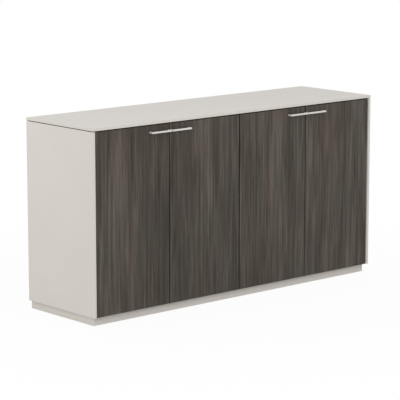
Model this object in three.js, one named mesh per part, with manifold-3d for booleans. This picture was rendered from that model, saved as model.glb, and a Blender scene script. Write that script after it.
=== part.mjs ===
// Office credenza, 1829 mm wide, with four hinged doors in two pairs.
// Millimetres, +Z up. X runs along the width, -Y is the front, and the floor is z = 0.
// The origin is the centre of the bounding box's bottom face, pulls included.
import * as THREE from "three";
import { mergeVertices } from "three/addons/utils/BufferGeometryUtils.js";
import Module from "manifold-3d";

// Case
const CASE_WIDTH = 1829;
const CASE_DEPTH = 508;
const CASE_HEIGHT = 932;
const TOP_THICKNESS = 13;
const TOP_REVEAL = 3; // dark line between the top and the end panels
const END_PANEL_THICKNESS = 13;
const PANEL_EDGE_RADIUS = 1; // edge banding of the light boards

// Carcass: the plain box that the end panels, top and doors hang on
const CARCASS_SIDE_THICKNESS = 16;
const CARCASS_TOP_THICKNESS = 16;
const CARCASS_BOTTOM_THICKNESS = 16;
const PARTITION_THICKNESS = 19;
const BACK_THICKNESS = 6;
const CARCASS_EDGE_RADIUS = 0.5;

// Shelves
const SHELF_THICKNESS = 19;
const SHELF_SETBACK = 12; // shelf front edge behind the carcass front
const SHELF_OPENING = 412.7; // clear height below the shelf
const SHELF_PLAY = 0.5; // on each side, so that the shelf lifts out

// Plinth
const PLINTH_HEIGHT = 42;
const PLINTH_SIDE_RECESS = 16;
const PLINTH_RAIL_THICKNESS = 18;

// Levelling feet, screwed through the carcass bottom
const FOOT_RADIUS = 15;
const FOOT_HEIGHT = 6;
const FOOT_RIM_HEIGHT = 3; // upright rim below the sloped shoulder
const FOOT_NECK_RADIUS = 8;
const FOOT_CHAMFER = 1;
const STEM_RADIUS = 4;
const STEM_CHAMFER = 1;
const STEM_PLAY = 0.4;
const STEM_SINK = 1; // stem end below the carcass floor
const FOOT_END_INSET = 70; // from the plinth's ends
const FOOT_EDGE_INSET = 60; // from the plinth's front and back

// Doors
const DOOR_THICKNESS = 18;
const DOOR_EDGE_RADIUS = 1;
const DOOR_RECESS = 6; // door face behind the front edges of the end panels
const DOOR_BACK_GAP = 3.5; // door back to carcass front, where the bumpers sit
const DOOR_TOP_GAP = 5;
const DOOR_SIDE_GAP = 3;
const DOOR_PAIR_GAP = 3;
const DOOR_CENTRE_GAP = 5;

// Bridge pulls
const PULL_LENGTH = 122;
const PULL_PROJECTION = 24;
const PULL_HEIGHT = 8;
const PULL_BAR_DEPTH = 8;
const PULL_LEG_WIDTH = 9;
const PULL_CORNER_RADIUS = 2.5;
const PULL_EDGE_BEVEL = 0.6;
const PULL_DROP = 33.5; // bar's centre line below the door's top edge
const PULL_END_INSET = 0; // from the door's meeting edge

// Concealed hinges: a pin across a cup in the door, and a hooked arm on the carcass
const HINGE_END_DISTANCE = 100; // hinge's centre from the door's top or bottom edge
const AXIS_INSET = 9.5; // pin from the door's hinged edge
const AXIS_DEPTH = 7.5; // pin behind the door's face
const PIN_RADIUS = 1.2;
const PIN_PLAY = 0.3;
const CUP_RADIUS = 17.5;
const CUP_INSET = 22; // cup's centre from the door's hinged edge
const CUP_WALL = 0.8;
const CUP_BOTTOM_RADIUS = 1.5;
const FLANGE_THICKNESS = 1.2;
const FLANGE_MARGIN = 1.7; // flange rim outside the cup
const EAR_PITCH = 45; // screw holes of the cup's ears
const EAR_OFFSET = 9.5; // ears' line from the cup's centre, away from the hinged edge
const EAR_RADIUS = 6.5;
const EAR_HOLE_RADIUS = 2.2;
const EYE_RADIUS = 2.6;
const ARM_THICKNESS = 2.2;
const ARM_WIDTH = 11;
const ARM_REACH = 14.7; // pin to the near face of the arm's long leg
const ARM_BEND_RADIUS = 3.5;
const ARM_OVERHANG = 5; // arm's end past the plate
const PLATE_LINE = 37; // plate's middle behind the carcass front
const PLATE_WIDTH = 26;
const PLATE_WING_THICKNESS = 2;
const PLATE_WING_SPAN = 52;
const PLATE_RIB_WIDTH = 13;
const PLATE_HOLE_PITCH = 32;
const PLATE_HOLE_RADIUS = 2.6;

// Clearances
const SEAT = 0.3; // between pieces that are screwed, glued or pressed together
const LIFT = 0.4; // arm's eye above the cup's floor

// Facets
const ROUND_SEGMENTS = 24; // cups and feet
const SMALL_SEGMENTS = 12; // pins and screw holes
const BEND_SEGMENTS = 4; // a quarter bend
const BEVEL_SEGMENTS = 2;

// Places worked out from the sizes above
const overallDepth = CASE_DEPTH + PULL_PROJECTION - DOOR_RECESS;
const caseBack = overallDepth / 2;
const caseFront = caseBack - CASE_DEPTH;
const doorFace = caseFront + DOOR_RECESS;
const carcassDepthFromFace = DOOR_THICKNESS + DOOR_BACK_GAP;
const carcassFront = doorFace + carcassDepthFromFace;
const carcassBack = caseBack - BACK_THICKNESS - SEAT;
const endPanelInner = CASE_WIDTH / 2 - END_PANEL_THICKNESS;
const carcassHalf = endPanelInner - SEAT;
const bayOuter = carcassHalf - CARCASS_SIDE_THICKNESS;
const bayInner = PARTITION_THICKNESS / 2;
const topUnderside = CASE_HEIGHT - TOP_THICKNESS;
const endPanelHeight = topUnderside - TOP_REVEAL - PLINTH_HEIGHT;
const doorHeight = topUnderside - DOOR_TOP_GAP - PLINTH_HEIGHT;
const carcassLow = PLINTH_HEIGHT + SEAT;
const carcassHigh = topUnderside - SEAT;
const floorLevel = carcassLow + CARCASS_BOTTOM_THICKNESS;
const ceilingLevel = carcassHigh - CARCASS_TOP_THICKNESS;
const doorOuterEdge = endPanelInner - DOOR_SIDE_GAP;
const doorWidth = (doorOuterEdge - DOOR_CENTRE_GAP / 2 - DOOR_PAIR_GAP) / 2;
const plinthHalf = CASE_WIDTH / 2 - PLINTH_SIDE_RECESS;

const laminate = new THREE.MeshStandardMaterial({ color: 0xd4d0ca, roughness: 0.55, metalness: 0 });
const melamine = new THREE.MeshStandardMaterial({ color: 0xc9c5bf, roughness: 0.6, metalness: 0 });
const darkWood = new THREE.MeshStandardMaterial({ color: 0x524c46, roughness: 0.5, metalness: 0 });
const satinNickel = new THREE.MeshStandardMaterial({ color: 0xc8c6c1, roughness: 0.35, metalness: 0.9 });
const platedSteel = new THREE.MeshStandardMaterial({ color: 0xb4b3b0, roughness: 0.3, metalness: 0.9 });
const blackPlastic = new THREE.MeshStandardMaterial({ color: 0x202020, roughness: 0.6, metalness: 0 });

const wasm = await Module();
wasm.setup();

function solidOf(geometry) {
  const bare = geometry.clone();
  bare.deleteAttribute("normal");
  bare.deleteAttribute("uv");
  const merged = mergeVertices(bare, 1e-4);
  const vertProperties = merged.attributes.position.array;
  const triVerts = new Uint32Array(merged.index.array);
  return new wasm.Manifold(new wasm.Mesh({ numProp: 3, vertProperties, triVerts }));
}

function geometryOf(solid) {
  const mesh = solid.getMesh();
  const geometry = new THREE.BufferGeometry();
  geometry.setAttribute("position", new THREE.BufferAttribute(mesh.vertProperties, 3));
  geometry.setIndex(new THREE.BufferAttribute(mesh.triVerts, 1));
  geometry.computeVertexNormals();
  return geometry;
}

function cut(geometry, cutters) {
  const solid = cutters.reduce((body, cutter) => body.subtract(solidOf(cutter)), solidOf(geometry));
  return geometryOf(solid);
}

function join(geometries) {
  const solid = geometries.map(solidOf).reduce((body, next) => body.add(next));
  return geometryOf(solid);
}

function addPiece(parent, name, geometry, material, x = 0, y = 0, z = 0) {
  const mesh = new THREE.Mesh(geometry, material);
  mesh.name = name;
  mesh.position.set(x, y, z);
  parent.add(mesh);
  return mesh;
}

// A board lying flat with rounded long edges: length along X, depth along Y, thickness along Z.
function boardGeometry(length, depth, thickness, edgeRadius) {
  const outline = new THREE.Shape();
  outline.moveTo(-length / 2, -depth / 2);
  outline.lineTo(length / 2, -depth / 2);
  outline.lineTo(length / 2, depth / 2);
  outline.lineTo(-length / 2, depth / 2);
  const core = thickness - 2 * edgeRadius;
  const geometry = new THREE.ExtrudeGeometry(outline, {
    depth: core,
    bevelEnabled: true,
    bevelSize: edgeRadius,
    bevelThickness: edgeRadius,
    bevelOffset: -edgeRadius,
    bevelSegments: BEVEL_SEGMENTS,
  });
  return geometry.translate(0, 0, -core / 2);
}

// The same board standing with its faces towards +X and -X.
function sideBoardGeometry(thickness, depth, height, edgeRadius) {
  return boardGeometry(height, depth, thickness, edgeRadius).rotateY(Math.PI / 2);
}

// The same board standing with its faces towards +Y and -Y.
function frontBoardGeometry(length, thickness, height, edgeRadius) {
  return boardGeometry(length, height, thickness, edgeRadius).rotateX(Math.PI / 2);
}

// A rod along Z, centred.
function rodGeometry(radius, length) {
  return new THREE.CylinderGeometry(radius, radius, length, SMALL_SEGMENTS).rotateX(Math.PI / 2);
}

function addTopAndEndPanels(credenza) {
  const caseMiddle = (caseFront + caseBack) / 2;
  const top = boardGeometry(CASE_WIDTH, CASE_DEPTH, TOP_THICKNESS, PANEL_EDGE_RADIUS);
  addPiece(credenza, "top_panel", top, laminate, 0, caseMiddle, CASE_HEIGHT - TOP_THICKNESS / 2);
  for (const [side, sign] of [["left", -1], ["right", 1]]) {
    const panel = sideBoardGeometry(END_PANEL_THICKNESS, CASE_DEPTH, endPanelHeight, PANEL_EDGE_RADIUS);
    const x = sign * (endPanelInner + END_PANEL_THICKNESS / 2);
    const z = PLINTH_HEIGHT + endPanelHeight / 2;
    addPiece(credenza, `${side}_end_panel`, panel, laminate, x, caseMiddle, z);
  }
}

function footPlaces() {
  const x = plinthHalf - FOOT_END_INSET;
  const front = carcassFront + FOOT_EDGE_INSET;
  const back = caseBack - FOOT_EDGE_INSET;
  return [
    ["front_left", -x, front],
    ["front_right", x, front],
    ["back_left", -x, back],
    ["back_right", x, back],
  ];
}

function addCarcass(credenza) {
  const depth = carcassBack - carcassFront;
  const middle = (carcassFront + carcassBack) / 2;
  const sideHigh = ceilingLevel - SEAT;
  const sideHeight = sideHigh - carcassLow;
  for (const [side, sign] of [["left", -1], ["right", 1]]) {
    const board = sideBoardGeometry(CARCASS_SIDE_THICKNESS, depth, sideHeight, CARCASS_EDGE_RADIUS);
    const x = sign * (bayOuter + CARCASS_SIDE_THICKNESS / 2);
    addPiece(credenza, `carcass_${side}_side`, board, melamine, x, middle, carcassLow + sideHeight / 2);
  }

  const top = boardGeometry(2 * carcassHalf, depth, CARCASS_TOP_THICKNESS, CARCASS_EDGE_RADIUS);
  addPiece(credenza, "carcass_top", top, melamine, 0, middle, ceilingLevel + CARCASS_TOP_THICKNESS / 2);

  const bottomLength = 2 * (bayOuter - SEAT);
  const bottomBoard = boardGeometry(bottomLength, depth, CARCASS_BOTTOM_THICKNESS, CARCASS_EDGE_RADIUS);
  const stemHoles = footPlaces().map(([, x, y]) =>
    rodGeometry(STEM_RADIUS + STEM_PLAY, 2 * CARCASS_BOTTOM_THICKNESS).translate(x, y - middle, 0),
  );
  const bottom = cut(bottomBoard, stemHoles);
  const bottomLevel = floorLevel - CARCASS_BOTTOM_THICKNESS / 2;
  addPiece(credenza, "carcass_bottom", bottom, melamine, 0, middle, bottomLevel);

  const partitionHeight = sideHigh - floorLevel - SEAT;
  const partition = sideBoardGeometry(PARTITION_THICKNESS, depth, partitionHeight, CARCASS_EDGE_RADIUS);
  addPiece(credenza, "centre_partition", partition, melamine, 0, middle, sideHigh - partitionHeight / 2);

  const backHeight = carcassHigh - carcassLow;
  const back = frontBoardGeometry(2 * carcassHalf, BACK_THICKNESS, backHeight, CARCASS_EDGE_RADIUS);
  const backMiddle = caseBack - BACK_THICKNESS / 2;
  addPiece(credenza, "back_panel", back, melamine, 0, backMiddle, carcassLow + backHeight / 2);
}

function addShelves(credenza) {
  const length = bayOuter - bayInner - 2 * SHELF_PLAY;
  const front = carcassFront + SHELF_SETBACK;
  const depth = carcassBack - front;
  const level = floorLevel + SHELF_OPENING + SHELF_THICKNESS / 2;
  for (const [side, sign] of [["left", -1], ["right", 1]]) {
    const shelf = boardGeometry(length, depth, SHELF_THICKNESS, PANEL_EDGE_RADIUS);
    const x = (sign * (bayOuter + bayInner)) / 2;
    addPiece(credenza, `${side}_shelf`, shelf, melamine, x, front + depth / 2, level);
  }
}

function addPlinth(credenza) {
  const half = PLINTH_RAIL_THICKNESS / 2;
  const level = PLINTH_HEIGHT / 2;
  const long = () =>
    frontBoardGeometry(2 * plinthHalf, PLINTH_RAIL_THICKNESS, PLINTH_HEIGHT, CARCASS_EDGE_RADIUS);
  addPiece(credenza, "plinth_front_rail", long(), laminate, 0, carcassFront + half, level);
  addPiece(credenza, "plinth_back_rail", long(), laminate, 0, caseBack - half, level);

  const crossFront = carcassFront + PLINTH_RAIL_THICKNESS + SEAT;
  const crossBack = caseBack - PLINTH_RAIL_THICKNESS - SEAT;
  const crossMiddle = (crossFront + crossBack) / 2;
  const cross = () =>
    sideBoardGeometry(PLINTH_RAIL_THICKNESS, crossBack - crossFront, PLINTH_HEIGHT, CARCASS_EDGE_RADIUS);
  addPiece(credenza, "plinth_left_rail", cross(), laminate, half - plinthHalf, crossMiddle, level);
  addPiece(credenza, "plinth_centre_bearer", cross(), melamine, 0, crossMiddle, level);
  addPiece(credenza, "plinth_right_rail", cross(), laminate, plinthHalf - half, crossMiddle, level);
}

// A disc foot with a sloped shoulder on a long threaded stem.
function addLevellers(credenza) {
  const stemTop = floorLevel - STEM_SINK;
  const profile = [
    new THREE.Vector2(0, 0),
    new THREE.Vector2(FOOT_RADIUS - FOOT_CHAMFER, 0),
    new THREE.Vector2(FOOT_RADIUS, FOOT_CHAMFER),
    new THREE.Vector2(FOOT_RADIUS, FOOT_RIM_HEIGHT),
    new THREE.Vector2(FOOT_NECK_RADIUS, FOOT_HEIGHT),
    new THREE.Vector2(STEM_RADIUS, FOOT_HEIGHT),
    new THREE.Vector2(STEM_RADIUS, stemTop - STEM_CHAMFER),
    new THREE.Vector2(STEM_RADIUS - STEM_CHAMFER, stemTop),
    new THREE.Vector2(0, stemTop),
  ];
  for (const [corner, x, y] of footPlaces()) {
    const leveller = new THREE.LatheGeometry(profile, ROUND_SEGMENTS).rotateX(Math.PI / 2);
    addPiece(credenza, `leveller_${corner}`, leveller, blackPlastic, x, y, 0);
  }
}

const hingeLevels = [
  ["lower", HINGE_END_DISTANCE],
  ["upper", doorHeight - HINGE_END_DISTANCE],
];
const cupFloor = AXIS_DEPTH - EYE_RADIUS - LIFT;
const cupBase = cupFloor - CUP_WALL;

// In a door's own group the origin is the hinged edge at the face and bottom, and X runs to the free edge.
function doorGeometry() {
  const board = frontBoardGeometry(doorWidth, DOOR_THICKNESS, doorHeight, DOOR_EDGE_RADIUS);
  board.translate(doorWidth / 2, DOOR_THICKNESS / 2, doorHeight / 2);
  const boreBase = cupBase - SEAT;
  const bores = hingeLevels.map(([, level]) => {
    const bore = new THREE.CylinderGeometry(
      CUP_RADIUS + SEAT,
      CUP_RADIUS + SEAT,
      DOOR_THICKNESS,
      ROUND_SEGMENTS,
    );
    return bore.translate(CUP_INSET, boreBase + DOOR_THICKNESS / 2, level);
  });
  return cut(board, bores);
}

// A bar on two end legs, drawn as one bent outline seen from above.
function pullGeometry() {
  const inset = PULL_EDGE_BEVEL;
  const rear = -SEAT;
  const front = -PULL_PROJECTION;
  const inner = front + PULL_BAR_DEPTH;
  const half = PULL_LENGTH / 2;
  const gap = half - PULL_LEG_WIDTH;
  const r = PULL_CORNER_RADIUS;
  const outline = new THREE.Shape();
  outline.moveTo(-half, rear);
  outline.lineTo(-half, front + r);
  outline.absarc(r - half, front + r, r, Math.PI, 1.5 * Math.PI, false);
  outline.lineTo(half - r, front);
  outline.absarc(half - r, front + r, r, 1.5 * Math.PI, 2 * Math.PI, false);
  outline.lineTo(half, rear);
  outline.lineTo(gap, rear);
  outline.lineTo(gap, inner + r);
  outline.absarc(gap - r, inner + r, r, 0, -0.5 * Math.PI, true);
  outline.lineTo(r - gap, inner);
  outline.absarc(r - gap, inner + r, r, 1.5 * Math.PI, Math.PI, true);
  outline.lineTo(-gap, rear);
  const core = PULL_HEIGHT - 2 * inset;
  const geometry = new THREE.ExtrudeGeometry(outline, {
    depth: core,
    curveSegments: BEND_SEGMENTS,
    bevelEnabled: true,
    bevelSize: inset,
    bevelThickness: inset,
    bevelOffset: -inset,
    bevelSegments: 1,
  });
  return geometry.translate(0, 0, -core / 2);
}

// A turned cup with a rim and two screw ears, open towards the carcass.
function cupGeometry() {
  const flangeBack = DOOR_THICKNESS + SEAT + FLANGE_THICKNESS;
  const mouth = CUP_RADIUS - CUP_WALL;
  const rim = CUP_RADIUS + FLANGE_MARGIN;
  const r = CUP_BOTTOM_RADIUS;
  const profile = [
    new THREE.Vector2(0, cupBase),
    new THREE.Vector2(CUP_RADIUS - r, cupBase),
    new THREE.Vector2(CUP_RADIUS, cupBase + r),
    new THREE.Vector2(CUP_RADIUS, flangeBack - FLANGE_THICKNESS),
    new THREE.Vector2(rim, flangeBack - FLANGE_THICKNESS),
    new THREE.Vector2(rim, flangeBack),
    new THREE.Vector2(mouth, flangeBack),
    new THREE.Vector2(mouth, cupFloor),
    new THREE.Vector2(0, cupFloor),
  ];
  const cup = new THREE.LatheGeometry(profile, ROUND_SEGMENTS);

  const earHalf = EAR_PITCH / 2;
  const ears = new THREE.Shape();
  ears.absarc(0, earHalf, EAR_RADIUS, 0, Math.PI, false);
  ears.absarc(0, -earHalf, EAR_RADIUS, Math.PI, 2 * Math.PI, false);
  for (const level of [-earHalf, earHalf]) {
    const hole = new THREE.Path().absarc(0, level, EAR_HOLE_RADIUS, 0, 2 * Math.PI, true);
    ears.holes.push(hole);
  }
  const earPlate = new THREE.ExtrudeGeometry(ears, {
    depth: FLANGE_THICKNESS,
    curveSegments: BEND_SEGMENTS,
    bevelEnabled: false,
  });
  earPlate.rotateX(-Math.PI / 2).translate(EAR_OFFSET, flangeBack - FLANGE_THICKNESS, 0);
  const well = new THREE.CylinderGeometry(mouth, mouth, flangeBack - cupFloor, ROUND_SEGMENTS);
  well.translate(0, (flangeBack + cupFloor) / 2, 0);
  return join([cup, cut(earPlate, [well])]);
}

// A strap with a rolled eye at the pin, bent back out of the cup and along the plate.
function armGeometry() {
  const near = ARM_REACH;
  const far = ARM_REACH + ARM_THICKNESS;
  const front = -EYE_RADIUS;
  const back = carcassDepthFromFace - AXIS_DEPTH + PLATE_LINE + PLATE_WIDTH / 2 + ARM_OVERHANG;
  const innerBend = ARM_BEND_RADIUS - ARM_THICKNESS;
  const strapTop = front + ARM_THICKNESS;
  const eyeEnd = Math.asin(strapTop / EYE_RADIUS);
  const tip = ARM_THICKNESS / 2;
  const bendX = far - ARM_BEND_RADIUS;
  const bendY = front + ARM_BEND_RADIUS;
  const outline = new THREE.Shape();
  outline.moveTo(0, front);
  outline.lineTo(bendX, front);
  outline.absarc(bendX, bendY, ARM_BEND_RADIUS, 1.5 * Math.PI, 2 * Math.PI, false);
  outline.lineTo(far, back - tip);
  outline.absarc(near + tip, back - tip, tip, 0, Math.PI, false);
  outline.lineTo(near, bendY);
  outline.absarc(bendX, bendY, innerBend, 2 * Math.PI, 1.5 * Math.PI, true);
  outline.lineTo(EYE_RADIUS * Math.cos(eyeEnd), strapTop);
  outline.absarc(0, 0, EYE_RADIUS, eyeEnd, 1.5 * Math.PI, false);
  outline.holes.push(new THREE.Path().absarc(0, 0, PIN_RADIUS + PIN_PLAY, 0, 2 * Math.PI, true));
  const geometry = new THREE.ExtrudeGeometry(outline, {
    depth: ARM_WIDTH,
    curveSegments: BEND_SEGMENTS,
    bevelEnabled: false,
  });
  return geometry.translate(0, 0, -ARM_WIDTH / 2);
}

// A hat section: two screwed wings on the carcass board and a rib that lifts the arm off it.
function plateGeometry(ribHeight) {
  const wing = PLATE_WING_SPAN / 2;
  const rib = PLATE_RIB_WIDTH / 2;
  const outline = new THREE.Shape();
  outline.moveTo(0, -wing);
  outline.lineTo(PLATE_WING_THICKNESS, -wing);
  outline.lineTo(PLATE_WING_THICKNESS, -rib);
  outline.lineTo(ribHeight, -rib);
  outline.lineTo(ribHeight, rib);
  outline.lineTo(PLATE_WING_THICKNESS, rib);
  outline.lineTo(PLATE_WING_THICKNESS, wing);
  outline.lineTo(0, wing);
  const hat = new THREE.ExtrudeGeometry(outline, { depth: PLATE_WIDTH, bevelEnabled: false });
  hat.translate(0, 0, -PLATE_WIDTH / 2).rotateX(-Math.PI / 2);
  const holes = [-PLATE_HOLE_PITCH / 2, PLATE_HOLE_PITCH / 2].map((z) => {
    const hole = rodGeometry(PLATE_HOLE_RADIUS, 2 * PLATE_WING_THICKNESS);
    return hole.rotateY(Math.PI / 2).translate(PLATE_WING_THICKNESS / 2, 0, z);
  });
  return cut(hat, holes);
}

// boardFace is the carcass board's inner face, measured from the door's hinged edge.
function addHinges(group, prefix, boardFace) {
  const facetRadius = (CUP_RADIUS - CUP_WALL) * Math.cos(Math.PI / ROUND_SEGMENTS);
  const pinSide = CUP_INSET - AXIS_INSET + PIN_RADIUS;
  const pinLength = 2 * (Math.sqrt(facetRadius ** 2 - pinSide ** 2) - SEAT);
  const ribHeight = AXIS_INSET + ARM_REACH - boardFace - 2 * SEAT;
  const plateLine = carcassDepthFromFace + PLATE_LINE;
  for (const [place, level] of hingeLevels) {
    const name = `${prefix}_${place}_hinge`;
    const pin = rodGeometry(PIN_RADIUS, pinLength);
    const plate = plateGeometry(ribHeight);
    addPiece(group, `${name}_cup`, cupGeometry(), platedSteel, CUP_INSET, 0, level);
    addPiece(group, `${name}_pin`, pin, platedSteel, AXIS_INSET, AXIS_DEPTH, level);
    addPiece(group, `${name}_arm`, armGeometry(), platedSteel, AXIS_INSET, AXIS_DEPTH, level);
    addPiece(group, `${name}_plate`, plate, platedSteel, boardFace + SEAT, plateLine, level);
  }
}

// hand is 1 for a door hung on its left edge and -1 for one hung on its right edge.
function addDoor(credenza, prefix, hand, hingedEdge, boardFace) {
  const group = new THREE.Group();
  group.position.set(hingedEdge, doorFace, PLINTH_HEIGHT);
  group.scale.x = hand;
  addPiece(group, `${prefix}_door`, doorGeometry(), darkWood);
  const pullMiddle = doorWidth - PULL_END_INSET - PULL_LENGTH / 2;
  addPiece(group, `${prefix}_pull`, pullGeometry(), satinNickel, pullMiddle, 0, doorHeight - PULL_DROP);
  addHinges(group, prefix, boardFace);
  credenza.add(group);
}

function addDoors(credenza) {
  const sideFace = doorOuterEdge - bayOuter;
  const centreEdge = DOOR_CENTRE_GAP / 2;
  const partitionFace = bayInner - centreEdge;
  addDoor(credenza, "left_outer", 1, -doorOuterEdge, sideFace);
  addDoor(credenza, "left_inner", -1, -centreEdge, partitionFace);
  addDoor(credenza, "right_inner", 1, centreEdge, partitionFace);
  addDoor(credenza, "right_outer", -1, doorOuterEdge, sideFace);
}

const credenza = new THREE.Group();
addTopAndEndPanels(credenza);
addCarcass(credenza);
addShelves(credenza);
addPlinth(credenza);
addLevellers(credenza);
addDoors(credenza);

export default credenza;
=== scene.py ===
"""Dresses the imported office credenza: its finishes, its small hardware and a plain studio."""

import math

import bmesh
import bpy
from bpy.props import FloatProperty, FloatVectorProperty, IntProperty, PointerProperty
from mathutils import Matrix, Vector


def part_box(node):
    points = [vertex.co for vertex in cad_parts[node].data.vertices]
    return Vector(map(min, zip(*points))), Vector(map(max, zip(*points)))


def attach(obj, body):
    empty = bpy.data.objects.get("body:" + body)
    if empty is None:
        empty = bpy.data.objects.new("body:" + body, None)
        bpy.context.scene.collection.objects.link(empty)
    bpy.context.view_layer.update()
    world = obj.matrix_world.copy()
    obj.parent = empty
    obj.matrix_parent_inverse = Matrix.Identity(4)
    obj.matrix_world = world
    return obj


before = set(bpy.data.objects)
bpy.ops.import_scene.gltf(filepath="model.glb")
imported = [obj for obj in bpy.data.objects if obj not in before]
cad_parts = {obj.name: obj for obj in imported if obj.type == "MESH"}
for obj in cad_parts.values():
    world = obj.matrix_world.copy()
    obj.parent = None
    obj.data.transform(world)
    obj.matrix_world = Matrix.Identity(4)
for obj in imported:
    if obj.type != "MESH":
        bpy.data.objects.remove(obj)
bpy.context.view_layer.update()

bl_info = {
    "name": "Office credenza",
    "version": (1, 0, 0),
    "blender": (4, 5, 0),
    "location": "3D View > Sidebar > Credenza",
    "description": "Finishes, small hardware and studio for a four-door office credenza",
    "category": "Object",
}

MM = 0.001
WHITE = (1.0, 1.0, 1.0, 1.0)

CASE = "case"
# A door's hand: 1 where its hinges are on its left edge, -1 where they are on its right
HANDS = {"left_outer": 1, "left_inner": -1, "right_inner": 1, "right_outer": -1}
DOORS = tuple(HANDS)
HINGES = ("lower", "upper")
LIGHT_BOARDS = (
    "top_panel",
    "left_end_panel",
    "right_end_panel",
    "plinth_front_rail",
    "plinth_back_rail",
    "plinth_left_rail",
    "plinth_right_rail",
)
CARCASS_BOARDS = (
    "carcass_left_side",
    "carcass_right_side",
    "carcass_top",
    "carcass_bottom",
    "centre_partition",
    "plinth_centre_bearer",
    "left_shelf",
    "right_shelf",
    "back_panel",
)
LEVELLERS = (
    "leveller_front_left",
    "leveller_front_right",
    "leveller_back_left",
    "leveller_back_right",
)

# The doors' printed grain: its streaks' width and length in millimetres, and share of the tone
GRAIN_LAYERS = (
    (170, 900, 0.19),
    (52, 520, 0.27),
    (15, 460, 0.36),
    (7, 150, 0.19),
)

NOISE_ROUGHNESS = 0.55
NOISE_SPAN = (0.3, 0.7)  # most of a noise pattern's values lie in here
RELIEF_STRENGTH = 0.3
EDGE_SKIN = 0.4 * MM  # what lies this near to an edge counts as the edge

# Kinds of node that are used often, and the sockets of a Mix node that blends colours
MATH = "ShaderNodeMath"
MAP_RANGE = "ShaderNodeMapRange"
MIX_FACTOR = 0
MIX_UNDER = 6
MIX_OVER = 7
MIX_RESULT = 2


def linear(hex_colour):
    """An sRGB hex colour as linear red, green, blue and full alpha."""
    channels = [int(hex_colour[i:i + 2], 16) / 255 for i in (0, 2, 4)]
    return (*(c / 12.92 if c <= 0.04045 else ((c + 0.055) / 1.055) ** 2.4 for c in channels), 1.0)


def shaded(base, share):
    """A linear colour with its brightness multiplied by a share."""
    return (*(min(1.0, channel * share) for channel in base[:3]), 1.0)


def colour(name, description, hex_colour):
    """A property that holds a colour."""
    return FloatVectorProperty(
        name=name,
        description=description,
        subtype="COLOR",
        size=4,
        min=0.0,
        max=1.0,
        default=linear(hex_colour),
    )


def length(name, description, millimetres):
    """A property that holds a length."""
    return FloatProperty(
        name=name,
        description=description,
        unit="LENGTH",
        min=0.0,
        default=millimetres * MM,
    )


def angle(name, description, degrees):
    """A property that holds an angle."""
    return FloatProperty(
        name=name,
        description=description,
        subtype="ANGLE",
        default=math.radians(degrees),
    )


def power(name, description, watts):
    """A property that holds the power of a lamp."""
    return FloatProperty(
        name=name,
        description=description,
        subtype="POWER",
        min=0.0,
        default=watts,
    )


class FinishSettings(bpy.types.PropertyGroup):
    """Colours of the finishes and of the painted shade, and how far the painted shade shows round
    the doors' edges.
    """

    laminate: colour("Laminate", "Warm light grey of the top, ends and plinth", "D9D4CD")
    melamine: colour("Melamine", "Plain grey inside the case", "CCC8C2")
    # painted shade: the end panels' top edges show in the reveal in this dark colour, for the
    # reveal's shade
    reveal_shade: colour("Sealed edge", "Sealed board on the end panels' edges in the reveal", "6B665F")
    # painted shade: a black band on the carcass edges and round the doors, for the shade in the
    # reveal and the door gaps
    painted_gap_shade: colour("Edge band", "Black banding on the edges that show in the door gaps", "1A1816")
    # how far the doors' painted gap shade reaches in from their edges
    gap_shade_width: length("Band width", "How far the doors' edge band shows round their faces", 0.7)
    wood_dark: colour("Wood, dark", "Darkest growth bands of the doors", "342E27")
    wood_mid: colour("Wood, middle", "Main tone of the doors", "4A453D")
    wood_light: colour("Wood, light", "Palest streaks of the doors", "605A51")
    wood_stain: colour("Wood stain", "Brown glaze that warms patches of the doors", "F8EDEB")
    nickel: colour("Satin nickel", "Pulls", "E2DFD9")
    steel: colour("Plated steel", "Hinges, screws and shelf pins", "C6C5C1")
    plastic: colour("Black plastic", "Levelling feet and door bumpers", "1E1E1F")
    # painted shade: the pin holes are discs in this dark colour, for the shade inside a bore
    shade: colour("Bored hole", "Raw board in the bottom of a bored hole", "2E2823")


class HardwareSettings(bpy.types.PropertyGroup):
    """Sizes of the small hardware."""

    screw_radius: length("Screw head", "Radius of a hinge or back screw's head", 3.6)
    screw_height: length("Screw height", "Height of a screw's head", 1.4)
    pull_screw_radius: length("Pull screw", "Radius of a pull screw's head", 4.2)
    pull_screw_inset: length("Pull screw inset", "Pull screw from the end of its pull", 4.5)
    pin_length: length("Shelf pin", "How far a shelf pin's tongue stands out of its board", 10)
    pin_width: length("Shelf pin width", "Width of a shelf pin's tongue", 9)
    pin_thickness: length("Shelf pin thickness", "Thickness of a shelf pin's tongue", 2)
    row_inset: length("Pin row", "Rows of pin holes from the front and back of the carcass", 72)
    bore_radius: length("Pin hole", "Radius of a pin hole", 2.5)
    bore_pitch: length("Hole pitch", "Distance between pin holes", 32)
    bores_each_way: IntProperty(
        name="Holes",
        description="Pin holes above and below the shelf",
        min=1,
        default=7,
    )
    bumper_radius: length("Bumper", "Radius of a door bumper", 5)
    bumper_height: length("Bumper height", "Thickness of a door bumper", 2.6)
    back_screw_pitch: length("Back screws", "Distance between the back panel's screws", 200)
    cap_radius: length("Cap", "Radius of the caps over the levelling screws", 9)
    cap_height: length("Cap height", "Height of the caps over the levelling screws", 1.6)


class StudioSettings(bpy.types.PropertyGroup):
    """Camera, light and floor."""

    camera_place: FloatVectorProperty(
        name="Camera",
        description="Where the camera stands",
        subtype="TRANSLATION",
        size=3,
        default=(-6.3647, -7.1395, 2.2098),
    )
    camera_yaw: angle("Yaw", "Camera's turn from facing the front", 41.511)
    camera_pitch: angle("Pitch", "Camera's tilt below level", 10.377)
    camera_lens: FloatProperty(
        name="Lens",
        description="Focal length",
        subtype="DISTANCE_CAMERA",
        default=175.2,
    )
    sky: FloatProperty(
        name="Sky",
        description="Strength of the even light from all round",
        min=0.0,
        default=0.69,
    )
    key: power("Key", "Power of the large lamp at the left", 80)
    fill: power("Fill", "Power of the large lamp in front", 51)
    side: power("Side", "Power of the small lamp by the left end", 2)
    floor: colour("Floor", "Floor, as it reflects light onto the credenza", "E6E5E3")


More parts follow.
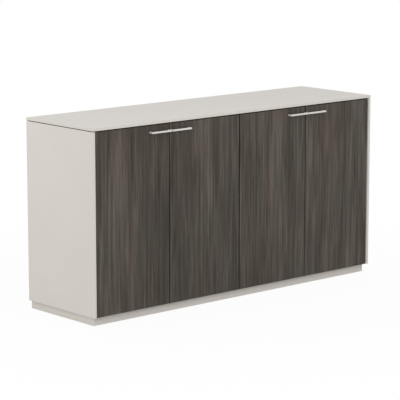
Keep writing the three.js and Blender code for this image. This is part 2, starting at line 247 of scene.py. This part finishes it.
def add_node(tree, kind, inputs=None, **options):
    """Adds one node, sets its options, and gives each input a value or another node's output."""
    node = tree.nodes.new(kind)
    for option, value in options.items():
        setattr(node, option, value)
    for socket, value in (inputs or {}).items():
        if isinstance(value, bpy.types.NodeSocket):
            tree.links.new(value, node.inputs[socket])
        else:
            node.inputs[socket].default_value = value
    return node


def new_material(name):
    """An empty node material, and the object coordinates that its patterns read."""
    material = bpy.data.materials.new(name)
    material.use_nodes = True
    tree = material.node_tree
    tree.nodes.clear()
    return material, tree, add_node(tree, "ShaderNodeTexCoord").outputs["Object"]


def grain(tree, place, size_mm, detail=2.0):
    """A pattern of soft lumps that measure size_mm along X, Y and Z."""
    per_metre = [1.0 / (size * MM) for size in size_mm]
    spread = add_node(tree, "ShaderNodeMapping", {"Vector": place, "Scale": per_metre})
    noise = add_node(
        tree,
        "ShaderNodeTexNoise",
        {
            "Vector": spread.outputs["Vector"],
            "Scale": 1.0,
            "Detail": detail,
            "Roughness": NOISE_ROUGHNESS,
        },
    )
    return noise.outputs["Fac"]


def lay_over(tree, under, over, pattern, span=(0.0, 1.0), most=1.0, blend="MIX"):
    """Lays one colour over another: none where the pattern is span[0], the most at span[1]."""
    share = add_node(
        tree,
        MAP_RANGE,
        {"Value": pattern, "From Min": span[0], "From Max": span[1], "To Max": most},
    )
    mixed = add_node(
        tree,
        "ShaderNodeMix",
        {MIX_FACTOR: share.outputs["Result"], MIX_UNDER: under, MIX_OVER: over},
        data_type="RGBA",
        blend_type=blend,
    )
    return mixed.outputs[MIX_RESULT]


def surface(tree, base, pattern, roughness, relief_mm, constants=None):
    """Ends a material with its shader.

    Roughness and relief follow the pattern, and the constants are the same all over.
    """
    rough = add_node(
        tree,
        MAP_RANGE,
        {
            "Value": pattern,
            "From Min": NOISE_SPAN[0],
            "From Max": NOISE_SPAN[1],
            "To Min": roughness[0],
            "To Max": roughness[1],
        },
    )
    relief = add_node(
        tree,
        "ShaderNodeBump",
        {"Height": pattern, "Distance": relief_mm * MM, "Strength": RELIEF_STRENGTH},
    )
    shader = add_node(
        tree,
        "ShaderNodeBsdfPrincipled",
        {
            "Base Color": base,
            "Roughness": rough.outputs["Result"],
            "Normal": relief.outputs["Normal"],
            **(constants or {}),
        },
    )
    add_node(tree, "ShaderNodeOutputMaterial", {"Surface": shader.outputs["BSDF"]})


def thermofused_laminate(name, base, edge, painted_shade_mask):
    """Thermofused laminate on particle board, pressed on a suede plate.

    It shows an even colour with a fine emboss and a dull, soft sheen. The edges that the mask
    picks out take a dark colour of painted shade, for the shade in the reveal and the door gaps.
    """
    material, tree, place = new_material(name)
    cloud = grain(tree, place, (240, 240, 240))
    emboss = grain(tree, place, (3, 3, 3))  # a real emboss is under 1 mm, drawn coarser to show
    deeper = shaded(base, 0.985)
    tone = lay_over(tree, deeper, shaded(base, 1.008), cloud, (0.22, 0.65))
    speckled = lay_over(tree, tone, deeper, emboss, (0.55, 0.75), 0.5)
    # painted shade: the masked edges take a dark colour for the shade in the reveal and the door
    # gaps
    with_painted_shade = lay_over(tree, speckled, edge, painted_shade_mask(tree, place))
    surface(tree, with_painted_shade, emboss, (0.46, 0.56), 0.05, {"Specular IOR Level": 0.35})
    return material


def reveal_shade_mask(tree, place):
    """1 on the end panels' top edges, which show in the reveal under the top and take its painted
    shade, else 0.
    """
    height = add_node(tree, "ShaderNodeSeparateXYZ", {"Vector": place}).outputs["Z"]
    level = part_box("left_end_panel")[1][2]
    near = add_node(tree, MATH, {0: height, 1: level, 2: EDGE_SKIN}, operation="COMPARE")
    return near.outputs[0]


def carcass_gap_shade_mask(tree, place):
    """1 on the carcass edges that show in the reveal and the door gaps and take painted shade
    there, else 0.
    """
    low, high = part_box("carcass_top")
    front_y = low[1] + EDGE_SKIN
    end_x = high[0] - EDGE_SKIN
    axes = add_node(tree, "ShaderNodeSeparateXYZ", {"Vector": place}).outputs
    front = add_node(tree, MATH, {0: axes["Y"], 1: front_y}, operation="LESS_THAN").outputs[0]
    across = add_node(tree, MATH, {0: axes["X"]}, operation="ABSOLUTE").outputs[0]
    end = add_node(tree, MATH, {0: across, 1: end_x}, operation="GREATER_THAN").outputs[0]
    return add_node(tree, MATH, {0: front, 1: end}, operation="MAXIMUM").outputs[0]


def door_gap_shade_mask(tree, place, width):
    """1 within a width of the doors' four edges, which take the painted shade of the gaps, else 0.
    """
    low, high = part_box("right_inner_door")
    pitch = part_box("right_outer_door")[0][0] - low[0]
    gap = pitch - (high[0] - low[0])
    first_gap = low[0] - gap / 2
    half_height = (high[2] - low[2]) / 2
    axes = add_node(tree, "ShaderNodeSeparateXYZ", {"Vector": place}).outputs
    # the distance from the nearest gap between doors, and then the height from the doors' middle
    to_gap = (
        ("ABSOLUTE", 0.0),
        ("SUBTRACT", first_gap),
        ("PINGPONG", pitch / 2),
        ("LESS_THAN", gap / 2 + width),
    )
    to_middle = (
        ("SUBTRACT", low[2] + half_height),
        ("ABSOLUTE", 0.0),
        ("GREATER_THAN", half_height - width),
    )
    masks = []
    for value, steps in ((axes["X"], to_gap), (axes["Z"], to_middle)):
        for operation, number in steps:
            value = add_node(tree, MATH, {0: value, 1: number}, operation=operation).outputs[0]
        masks.append(value)
    either = add_node(tree, MATH, {0: masks[0], 1: masks[1]}, operation="MAXIMUM")
    return either.outputs[0]


def woodgrain_laminate(name, finish):
    """Printed wood-grain laminate, satin: straight grey-brown streaks in bands, partly warmer."""
    material, tree, place = new_material(name)
    tone = 0.0
    for width, run, share in GRAIN_LAYERS:
        layer = grain(tree, place, (width, width, run))
        step = add_node(tree, MATH, {0: layer, 1: share, 2: tone}, operation="MULTIPLY_ADD")
        tone = step.outputs[0]
    warmth = grain(tree, place, (90, 90, 480), 3.0)
    pores = grain(tree, place, (1.6, 1.6, 28))  # real pores are 0.3 mm wide, drawn coarser to show
    darkest, middling, palest = 0.40, 0.505, 0.60  # values of the tone
    body = lay_over(tree, finish.wood_dark, finish.wood_mid, tone, (darkest, middling))
    body = lay_over(tree, body, finish.wood_light, tone, (middling, palest))
    body = lay_over(tree, body, finish.wood_stain, warmth, (0.42, 0.60), blend="MULTIPLY")
    body = lay_over(tree, body, finish.wood_dark, pores, (0.60, 0.72), 0.45)
    # painted shade: a black band round the doors' edges, for the shade in the gaps between them
    body = lay_over(tree, body, finish.painted_gap_shade, door_gap_shade_mask(tree, place, finish.gap_shade_width))
    surface(tree, body, pores, (0.46, 0.60), 0.08, {"Specular IOR Level": 0.25})
    return material


def satin_nickel(name, base):
    """Nickel plate on a brushed bar: pale and satin, with fine lines along it in the highlights."""
    material, tree, place = new_material(name)
    cloud = grain(tree, place, (18, 18, 18))
    brush = grain(tree, place, (40, 0.8, 0.8))  # real lines are 0.1 mm wide, drawn coarser to show
    body = lay_over(tree, shaded(base, 0.9), base, cloud, NOISE_SPAN)
    surface(tree, body, brush, (0.45, 0.60), 0.02, {"Metallic": 0.4})
    return material


def plated_steel(name, base):
    """Pressed steel with bright nickel plate: smooth, with faint marks and cloudy reflections."""
    material, tree, place = new_material(name)
    cloud = grain(tree, place, (9, 9, 9), 3.0)
    body = lay_over(tree, shaded(base, 0.82), base, cloud, (0.35, 0.65))
    surface(tree, body, cloud, (0.20, 0.34), 0.02, {"Metallic": 1.0})
    return material


def moulded_plastic(name, base):
    """Spark-finished moulding: a fine even texture that breaks up the highlight."""
    material, tree, place = new_material(name)
    spark = grain(tree, place, (1.2, 1.2, 1.2))  # a real one is 0.1 mm, drawn coarser to show
    body = lay_over(tree, base, shaded(base, 1.3), spark, (0.4, 0.7))
    surface(tree, body, spark, (0.42, 0.58), 0.05)
    return material


def raw_bore(name, base):
    """A thin disc painted with the shade of a bored hole: dark, with the coarse chips of cut
    particle board, quite dull.
    """
    material, tree, place = new_material(name)
    chips = grain(tree, place, (0.9, 0.9, 0.9))
    body = lay_over(tree, base, shaded(base, 1.8), chips, (0.4, 0.7))
    surface(tree, body, chips, (0.85, 0.95), 0.1, {"Specular IOR Level": 0.1})
    return material


def finish_nodes(names, material):
    """Gives CAD nodes one finish."""
    for name in names:
        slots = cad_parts[name].data.materials
        slots.clear()
        slots.append(material)


def material_called(name):
    """A finish that an earlier operator made."""
    material = bpy.data.materials.get(name)
    if material is None:
        raise RuntimeError(f"the finish {name} isn't there yet, an earlier operator makes it")
    return material


def mesh_of(name, shape):
    """Turns a bmesh into a mesh."""
    mesh = bpy.data.meshes.new(name)
    shape.to_mesh(mesh)
    shape.free()
    return mesh


def facing(place, direction):
    """The transform that stands a shape made on +Z on a place, along a direction."""
    turn = Vector(direction).to_track_quat("Z", "Y").to_matrix().to_4x4()
    return Matrix.Translation(place) @ turn


def new_piece(name, pattern, transforms, material, body):
    """Makes a piece with a copy of a pattern at each transform. It rides on a body."""
    shape = bmesh.new()
    for transform in transforms:
        first = len(shape.verts)
        shape.from_mesh(pattern)
        shape.verts.ensure_lookup_table()
        bmesh.ops.transform(shape, matrix=transform, verts=shape.verts[first:])
    bpy.data.meshes.remove(pattern)
    bmesh.ops.recalc_face_normals(shape, faces=shape.faces)
    mesh = mesh_of(name, shape)
    mesh.materials.append(material)
    piece = bpy.data.objects.new(name, mesh)
    bpy.context.scene.collection.objects.link(piece)
    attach(piece, body)


def round_pad(radius, height, edge=0.0, segments=16):
    """A low disc on z = 0, with a rounded top edge if one is given, and the disc's top face."""
    shape = bmesh.new()
    bmesh.ops.create_circle(shape, cap_ends=True, segments=segments, radius=radius)
    grown = bmesh.ops.extrude_face_region(shape, geom=shape.faces[:])["geom"]
    top_verts = [g for g in grown if isinstance(g, bmesh.types.BMVert)]
    bmesh.ops.translate(shape, vec=(0, 0, height), verts=top_verts)
    if edge:
        rim = [e for e in shape.edges if all(v in top_verts for v in e.verts)]
        bmesh.ops.bevel(
            shape,
            geom=rim,
            offset=edge,
            affect="EDGES",
            segments=3,
            profile=0.5,
            material=-1,
        )
    shape.faces.ensure_lookup_table()
    top = max(shape.faces, key=lambda f: f.calc_center_median().z)
    return shape, top


def screw_pattern(radius, height):
    """A pan head with a star-shaped cross recess."""
    head_edge = 0.45 * height
    flat_rim = 0.12 * radius
    recess_tip = 0.62 * radius
    recess_waist = 0.2 * radius
    recess_slope = 0.02 * radius
    recess_depth = 0.6 * height
    shape, top = round_pad(radius, height, head_edge)
    bmesh.ops.inset_individual(shape, faces=[top], thickness=flat_rim)
    corners = sorted(top.verts, key=lambda v: math.atan2(v.co.y, v.co.x))
    quarter = len(corners) // 4
    for i, corner in enumerate(corners):
        reach = recess_waist if i % quarter else recess_tip
        moved = corner.co.xy.normalized() * reach
        corner.co.x = moved.x
        corner.co.y = moved.y
    bmesh.ops.inset_individual(shape, faces=[top], thickness=recess_slope, depth=-recess_depth)
    return mesh_of("screw", shape)


def middle(node):
    """The middle of a node's box."""
    low, high = (Vector(corner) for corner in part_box(node))
    return (low + high) / 2


def side_of(node, direction):
    """The X of a node's right side, or of its left side where the direction is negative."""
    low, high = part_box(node)
    return high[0] if direction > 0 else low[0]


class CREDENZA_OT_light_boards(bpy.types.Operator):
    """Finish the top, the end panels and the plinth in light laminate."""

    bl_idname = "credenza.light_boards"
    bl_label = "Light boards"

    def execute(self, context):
        finish = context.scene.credenza_finish
        # the end panels' top edges take painted shade where they show in the reveal
        laminate = thermofused_laminate(
            "light_laminate",
            finish.laminate,
            finish.reveal_shade,
            reveal_shade_mask,
        )
        finish_nodes(LIGHT_BOARDS, laminate)
        return {"FINISHED"}


class CREDENZA_OT_carcass(bpy.types.Operator):
    """Finish the carcass, its shelves and its back in plain melamine."""

    bl_idname = "credenza.carcass"
    bl_label = "Carcass"

    def execute(self, context):
        finish = context.scene.credenza_finish
        # the carcass edges in the reveal and the door gaps take painted shade
        melamine = thermofused_laminate(
            "grey_melamine",
            finish.melamine,
            finish.painted_gap_shade,
            carcass_gap_shade_mask,
        )
        finish_nodes(CARCASS_BOARDS, melamine)
        return {"FINISHED"}


class CREDENZA_OT_doors(bpy.types.Operator):
    """Finish the doors in dark vertical wood grain."""

    bl_idname = "credenza.doors"
    bl_label = "Doors"

    def execute(self, context):
        wood = woodgrain_laminate("dark_woodgrain", context.scene.credenza_finish)
        finish_nodes([f"{door}_door" for door in DOORS], wood)
        return {"FINISHED"}


class CREDENZA_OT_pulls(bpy.types.Operator):
    """Finish the pulls and put their screws through the doors."""

    bl_idname = "credenza.pulls"
    bl_label = "Pulls"

    def execute(self, context):
        finish = context.scene.credenza_finish
        hardware = context.scene.credenza_hardware
        nickel = satin_nickel("satin_nickel", finish.nickel)
        steel = plated_steel("plated_steel", finish.steel)
        finish_nodes([f"{door}_pull" for door in DOORS], nickel)
        inset = hardware.pull_screw_inset
        for door in DOORS:
            body = f"{door}_door"
            low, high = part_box(f"{door}_pull")
            door_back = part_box(body)[1][1]
            level = (low[2] + high[2]) / 2
            columns = (low[0] + inset, high[0] - inset)
            transforms = [facing((x, door_back, level), (0, 1, 0)) for x in columns]
            screw = screw_pattern(hardware.pull_screw_radius, hardware.screw_height)
            new_piece(f"{door}_pull_screws", screw, transforms, steel, body)
        return {"FINISHED"}


class CREDENZA_OT_hinges(bpy.types.Operator):
    """Finish the hinges and put in the screws of their cups, plates and arms."""

    bl_idname = "credenza.hinges"
    bl_label = "Hinges"

    # where the CAD hinges have their screws
    ear_pitch = 45 * MM
    ear_offset = 9.5 * MM
    wing_pitch = 32 * MM
    wing_thickness = 2 * MM
    adjuster_step = 18 * MM

    def execute(self, context):
        hardware = context.scene.credenza_hardware
        steel = material_called("plated_steel")
        kinds = ("cup", "pin", "arm", "plate")
        finish_nodes([f"{d}_{h}_hinge_{k}" for d in DOORS for h in HINGES for k in kinds], steel)
        for door in DOORS:
            self.add_door_screws(door, hardware, steel)
            self.add_board_screws(door, hardware, steel)
        return {"FINISHED"}

    def add_door_screws(self, door, hardware, steel):
        transforms = []
        for hinge in HINGES:
            cup = f"{door}_{hinge}_hinge_cup"
            centre = middle(cup)
            ear_x = centre.x + HANDS[door] * self.ear_offset
            ear_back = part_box(cup)[1][1]
            for side in (-0.5, 0.5):
                place = (ear_x, ear_back, centre.z + side * self.ear_pitch)
                transforms.append(facing(place, (0, 1, 0)))
        screw = screw_pattern(hardware.screw_radius, hardware.screw_height)
        body = f"{door}_door"
        new_piece(f"{door}_hinge_cup_screws", screw, transforms, steel, body)

    def add_board_screws(self, door, hardware, steel):
        hand = HANDS[door]
        transforms = []
        for hinge in HINGES:
            plate = f"{door}_{hinge}_hinge_plate"
            centre = middle(plate)
            wing_x = side_of(plate, -hand) + hand * self.wing_thickness
            for side in (-0.5, 0.5):
                place = (wing_x, centre.y, centre.z + side * self.wing_pitch)
                transforms.append(facing(place, (hand, 0, 0)))
            arm_x = side_of(f"{door}_{hinge}_hinge_arm", hand)
            for step in (0, -self.adjuster_step):
                transforms.append(facing((arm_x, centre.y + step, centre.z), (hand, 0, 0)))
        screw = screw_pattern(hardware.screw_radius, hardware.screw_height)
        new_piece(f"{door}_hinge_plate_screws", screw, transforms, steel, CASE)


class CREDENZA_OT_levellers(bpy.types.Operator):
    """Finish the levelling feet and cap the holes that reach them from inside."""

    bl_idname = "credenza.levellers"
    bl_label = "Levelling feet"

    edge_share = 0.6  # a cap's rounded edge, of its height

    def execute(self, context):
        finish = context.scene.credenza_finish
        hardware = context.scene.credenza_hardware
        finish_nodes(LEVELLERS, moulded_plastic("black_moulding", finish.plastic))
        cap_plastic = moulded_plastic("cap_moulding", finish.melamine)
        inside_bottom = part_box("carcass_bottom")[1][2]
        transforms = []
        for foot in LEVELLERS:
            centre = middle(foot)
            transforms.append(facing((centre.x, centre.y, inside_bottom), (0, 0, 1)))
        edge = self.edge_share * hardware.cap_height
        pad, _ = round_pad(hardware.cap_radius, hardware.cap_height, edge, segments=24)
        cap = mesh_of("cap", pad)
        new_piece("leveller_caps", cap, transforms, cap_plastic, CASE)
        return {"FINISHED"}


class CREDENZA_OT_shelf_pins(bpy.types.Operator):
    """Add the shelf pins and the rows of holes that they can be moved to, the holes as discs of
    painted shade.
    """

    bl_idname = "credenza.shelf_pins"
    bl_label = "Shelf pins"

    # painted shade: the holes are thin discs on the board in a dark colour for the shade inside a
    # bore
    bore_skin = 0.15 * MM  # the holes are drawn as thin dark discs on the board
    end_share = 0.4  # the rounding of a pin's end, of its width

    def execute(self, context):
        finish = context.scene.credenza_finish
        hardware = context.scene.credenza_hardware
        low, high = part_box("carcass_bottom")
        rows = (low[1] + hardware.row_inset, high[1] - hardware.row_inset)
        faces = (
            ("left", "carcass_left_side", 1),
            ("left", "centre_partition", -1),
            ("right", "centre_partition", 1),
            ("right", "carcass_right_side", -1),
        )
        pin_places = []
        bore_places = []
        for side, board, direction in faces:
            face_x = side_of(board, direction)
            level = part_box(f"{side}_shelf")[0][2] - hardware.pin_thickness
            for row in rows:
                pin_places.append(facing((face_x, row, level), (direction, 0, 0)))
                for step in range(1, hardware.bores_each_way + 1):
                    for rise in (-step * hardware.bore_pitch, step * hardware.bore_pitch):
                        bore_places.append(facing((face_x, row, level + rise), (direction, 0, 0)))
        steel = material_called("plated_steel")
        tongue = self.tongue_pattern(hardware)
        new_piece("shelf_pins", tongue, pin_places, steel, CASE)
        disc, _ = round_pad(hardware.bore_radius, self.bore_skin, segments=12)
        hole = mesh_of("hole", disc)
        # painted shade of the pin holes: a dark colour with chips
        hole_shade = raw_bore("raw_bore", finish.shade)
        new_piece("shelf_pin_holes", hole, bore_places, hole_shade, CASE)
        return {"FINISHED"}

    def tongue_pattern(self, hardware):
        """A flat tongue along +Z, out of its board, with its top towards +Y and a round end."""
        shape = bmesh.new()
        bmesh.ops.create_grid(shape, x_segments=1, y_segments=1, size=0.5)
        section = (hardware.pin_width, hardware.pin_thickness, 1.0)
        bmesh.ops.scale(shape, vec=section, verts=shape.verts)
        bmesh.ops.translate(shape, vec=(0, hardware.pin_thickness / 2, 0), verts=shape.verts)
        grown = bmesh.ops.extrude_face_region(shape, geom=shape.faces[:])["geom"]
        end = [g for g in grown if isinstance(g, bmesh.types.BMVert)]
        bmesh.ops.translate(shape, vec=(0, 0, hardware.pin_length), verts=end)
        end_edges = [e for e in shape.edges if all(v in end for v in e.verts)]
        bmesh.ops.bevel(
            shape,
            geom=[e for e in end_edges if e.verts[0].co.x == e.verts[1].co.x],
            offset=self.end_share * hardware.pin_width,
            affect="EDGES",
            segments=5,
            profile=0.5,
            material=-1,
        )
        return mesh_of("tongue", shape)


class CREDENZA_OT_bumpers(bpy.types.Operator):
    """Add a soft pad behind the free corners of each door."""

    bl_idname = "credenza.bumpers"
    bl_label = "Bumpers"

    side_inset = 14 * MM
    end_margin = 1 * MM
    edge_share = 0.4  # a pad's rounded edge, of its height

    def execute(self, context):
        hardware = context.scene.credenza_hardware
        plastic = material_called("black_moulding")
        inset = hardware.bumper_radius + self.end_margin
        edge = self.edge_share * hardware.bumper_height
        for door in DOORS:
            body = f"{door}_door"
            low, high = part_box(body)
            free_x = side_of(body, HANDS[door]) - HANDS[door] * self.side_inset
            levels = (low[2] + inset, high[2] - inset)
            transforms = [facing((free_x, high[1], z), (0, 1, 0)) for z in levels]
            pad, _ = round_pad(hardware.bumper_radius, hardware.bumper_height, edge)
            bumper = mesh_of("bumper", pad)
            new_piece(f"{door}_bumpers", bumper, transforms, plastic, body)
        return {"FINISHED"}


class CREDENZA_OT_back_screws(bpy.types.Operator):
    """Screw the back panel to the carcass all round and down the partition."""

    bl_idname = "credenza.back_screws"
    bl_label = "Back screws"

    def execute(self, context):
        hardware = context.scene.credenza_hardware
        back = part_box("back_panel")[1][1]
        uprights = ("carcass_left_side", "centre_partition", "carcass_right_side")
        columns = [middle(board).x for board in uprights]
        levels = [middle(board).z for board in ("carcass_bottom", "carcass_top")]
        across = round((columns[-1] - columns[0]) / hardware.back_screw_pitch)
        up = round((levels[1] - levels[0]) / hardware.back_screw_pitch)
        places = []
        for i in range(across + 1):
            x = columns[0] + (columns[-1] - columns[0]) * i / across
            places.extend((x, back, z) for z in levels)
        for k in range(1, up):
            z = levels[0] + (levels[1] - levels[0]) * k / up
            places.extend((x, back, z) for x in columns)
        transforms = [facing(place, (0, 1, 0)) for place in places]
        screw = screw_pattern(hardware.screw_radius, hardware.screw_height)
        steel = material_called("plated_steel")
        new_piece("back_panel_screws", screw, transforms, steel, CASE)
        return {"FINISHED"}


class CREDENZA_OT_studio(bpy.types.Operator):
    """Set up the camera, the lamps, the pale floor and the white surroundings."""

    bl_idname = "credenza.studio"
    bl_label = "Studio"

    sensor_width = 36.0  # in millimetres, as the lens
    farthest = 200.0  # how far the camera sees
    aim = (0.0, 0.0, 0.5)  # the point that the lamps face
    # each lamp's name, which its power has too, its width and its place
    lamps = (
        ("key", 3.0, (-6.5, -1.8, 3.6)),
        ("fill", 3.0, (-0.5, -4.2, 3.5)),
        ("side", 0.5, (-1.9, 0.75, 1.3)),
    )
    floor_radius = 60.0
    floor_drop = 0.5 * MM  # keeps the floor apart from the plinth's underside
    shadow_share = 0.05  # how much of the credenza's shadow shows on the white floor
    shadow_fade = (0.9, 2.2)  # distances from the credenza's middle between which it fades out

    def execute(self, context):
        settings = context.scene.credenza_studio
        context.scene.view_settings.view_transform = "Standard"
        self.add_camera(context.scene, settings)
        self.add_lamps(context.scene, settings)
        self.add_floor(context.scene, settings)
        self.light_world(context.scene, settings)
        return {"FINISHED"}

    def add_camera(self, scene, settings):
        data = bpy.data.cameras.new("camera")
        data.lens = settings.camera_lens
        data.sensor_width = self.sensor_width
        data.clip_end = self.farthest
        camera = bpy.data.objects.new("camera", data)
        camera.location = settings.camera_place
        camera.rotation_euler = (math.pi / 2 - settings.camera_pitch, 0.0, -settings.camera_yaw)
        scene.collection.objects.link(camera)
        scene.camera = camera

    def add_lamps(self, scene, settings):
        for name, width, place in self.lamps:
            data = bpy.data.lights.new(f"{name}_lamp", "AREA")
            data.energy = getattr(settings, name)
            data.size = width
            lamp = bpy.data.objects.new(f"{name}_lamp", data)
            lamp.location = place
            to_aim = Vector(self.aim) - Vector(place)
            lamp.rotation_euler = to_aim.to_track_quat("-Z", "Y").to_euler()
            scene.collection.objects.link(lamp)

    def add_floor(self, scene, settings):
        shape = bmesh.new()
        bmesh.ops.create_circle(shape, cap_ends=True, segments=64, radius=self.floor_radius)
        bmesh.ops.translate(shape, vec=(0, 0, -self.floor_drop), verts=shape.verts)
        mesh = mesh_of("floor", shape)
        floor = bpy.data.objects.new("floor", mesh)
        scene.collection.objects.link(floor)

        material, tree, place = new_material("pale_floor")
        mesh.materials.append(material)
        reach = add_node(tree, "ShaderNodeVectorMath", {0: place}, operation="LENGTH")
        plain = add_node(
            tree,
            MAP_RANGE,
            {
                "Value": reach.outputs["Value"],
                "From Min": self.shadow_fade[0],
                "From Max": self.shadow_fade[1],
                "To Min": 1.0 - self.shadow_share,
                "To Max": 1.0,
            },
        )
        share = add_node(
            tree,
            MATH,
            {0: self.seen_directly(tree), 1: plain.outputs["Result"]},
            operation="MULTIPLY",
        )
        pale = add_node(tree, "ShaderNodeBsdfDiffuse", {"Color": settings.floor})
        white = add_node(tree, "ShaderNodeEmission", {"Color": WHITE, "Strength": 1.0})
        blend = add_node(
            tree,
            "ShaderNodeMixShader",
            {0: share.outputs[0], 1: pale.outputs["BSDF"], 2: white.outputs["Emission"]},
        )
        add_node(tree, "ShaderNodeOutputMaterial", {"Surface": blend.outputs["Shader"]})

    def seen_directly(self, tree):
        """1 for rays from the camera and for reflections and views through glass, else 0."""
        path = add_node(tree, "ShaderNodeLightPath").outputs
        seen = path["Is Camera Ray"]
        for ray in ("Is Glossy Ray", "Is Transmission Ray"):
            either = add_node(tree, MATH, {0: seen, 1: path[ray]}, operation="MAXIMUM")
            seen = either.outputs[0]
        return seen

    def light_world(self, scene, settings):
        world = bpy.data.worlds.new("white_room")
        scene.world = world
        world.use_nodes = True
        tree = world.node_tree
        tree.nodes.clear()
        strength = add_node(
            tree,
            MAP_RANGE,
            {"Value": self.seen_directly(tree), "To Min": settings.sky, "To Max": 1.0},
        )
        sky = add_node(
            tree,
            "ShaderNodeBackground",
            {"Color": WHITE, "Strength": strength.outputs["Result"]},
        )
        add_node(tree, "ShaderNodeOutputWorld", {"Surface": sky.outputs["Background"]})


class CREDENZA_PT_panel(bpy.types.Panel):
    """Lists the settings and the steps that dress the credenza."""

    bl_idname = "CREDENZA_PT_panel"
    bl_label = "Credenza"
    bl_space_type = "VIEW_3D"
    bl_region_type = "UI"
    bl_category = "Credenza"

    def draw(self, context):
        for settings, kind in SETTINGS.items():
            group = getattr(context.scene, settings)
            for name in kind.__annotations__:
                self.layout.prop(group, name)
        for step in STEPS:
            self.layout.operator(step.bl_idname)


SETTINGS = {
    "credenza_finish": FinishSettings,
    "credenza_hardware": HardwareSettings,
    "credenza_studio": StudioSettings,
}
STEPS = (
    CREDENZA_OT_studio,
    CREDENZA_OT_light_boards,
    CREDENZA_OT_carcass,
    CREDENZA_OT_doors,
    CREDENZA_OT_pulls,
    CREDENZA_OT_hinges,
    CREDENZA_OT_levellers,
    CREDENZA_OT_shelf_pins,
    CREDENZA_OT_bumpers,
    CREDENZA_OT_back_screws,
)


def register():
    for group in SETTINGS.values():
        bpy.utils.register_class(group)
    for name, group in SETTINGS.items():
        setattr(bpy.types.Scene, name, PointerProperty(type=group))
    for step in STEPS:
        bpy.utils.register_class(step)
    bpy.utils.register_class(CREDENZA_PT_panel)


def unregister():
    bpy.utils.unregister_class(CREDENZA_PT_panel)
    for step in reversed(STEPS):
        bpy.utils.unregister_class(step)
    for name, group in SETTINGS.items():
        delattr(bpy.types.Scene, name)
        bpy.utils.unregister_class(group)


def main():
    register()
    bpy.ops.credenza.studio()
    bpy.ops.credenza.light_boards()
    bpy.ops.credenza.carcass()
    bpy.ops.credenza.doors()
    bpy.ops.credenza.pulls()
    bpy.ops.credenza.hinges()
    bpy.ops.credenza.levellers()
    bpy.ops.credenza.shelf_pins()
    bpy.ops.credenza.bumpers()
    bpy.ops.credenza.back_screws()


if __name__ == "__main__":
    main()
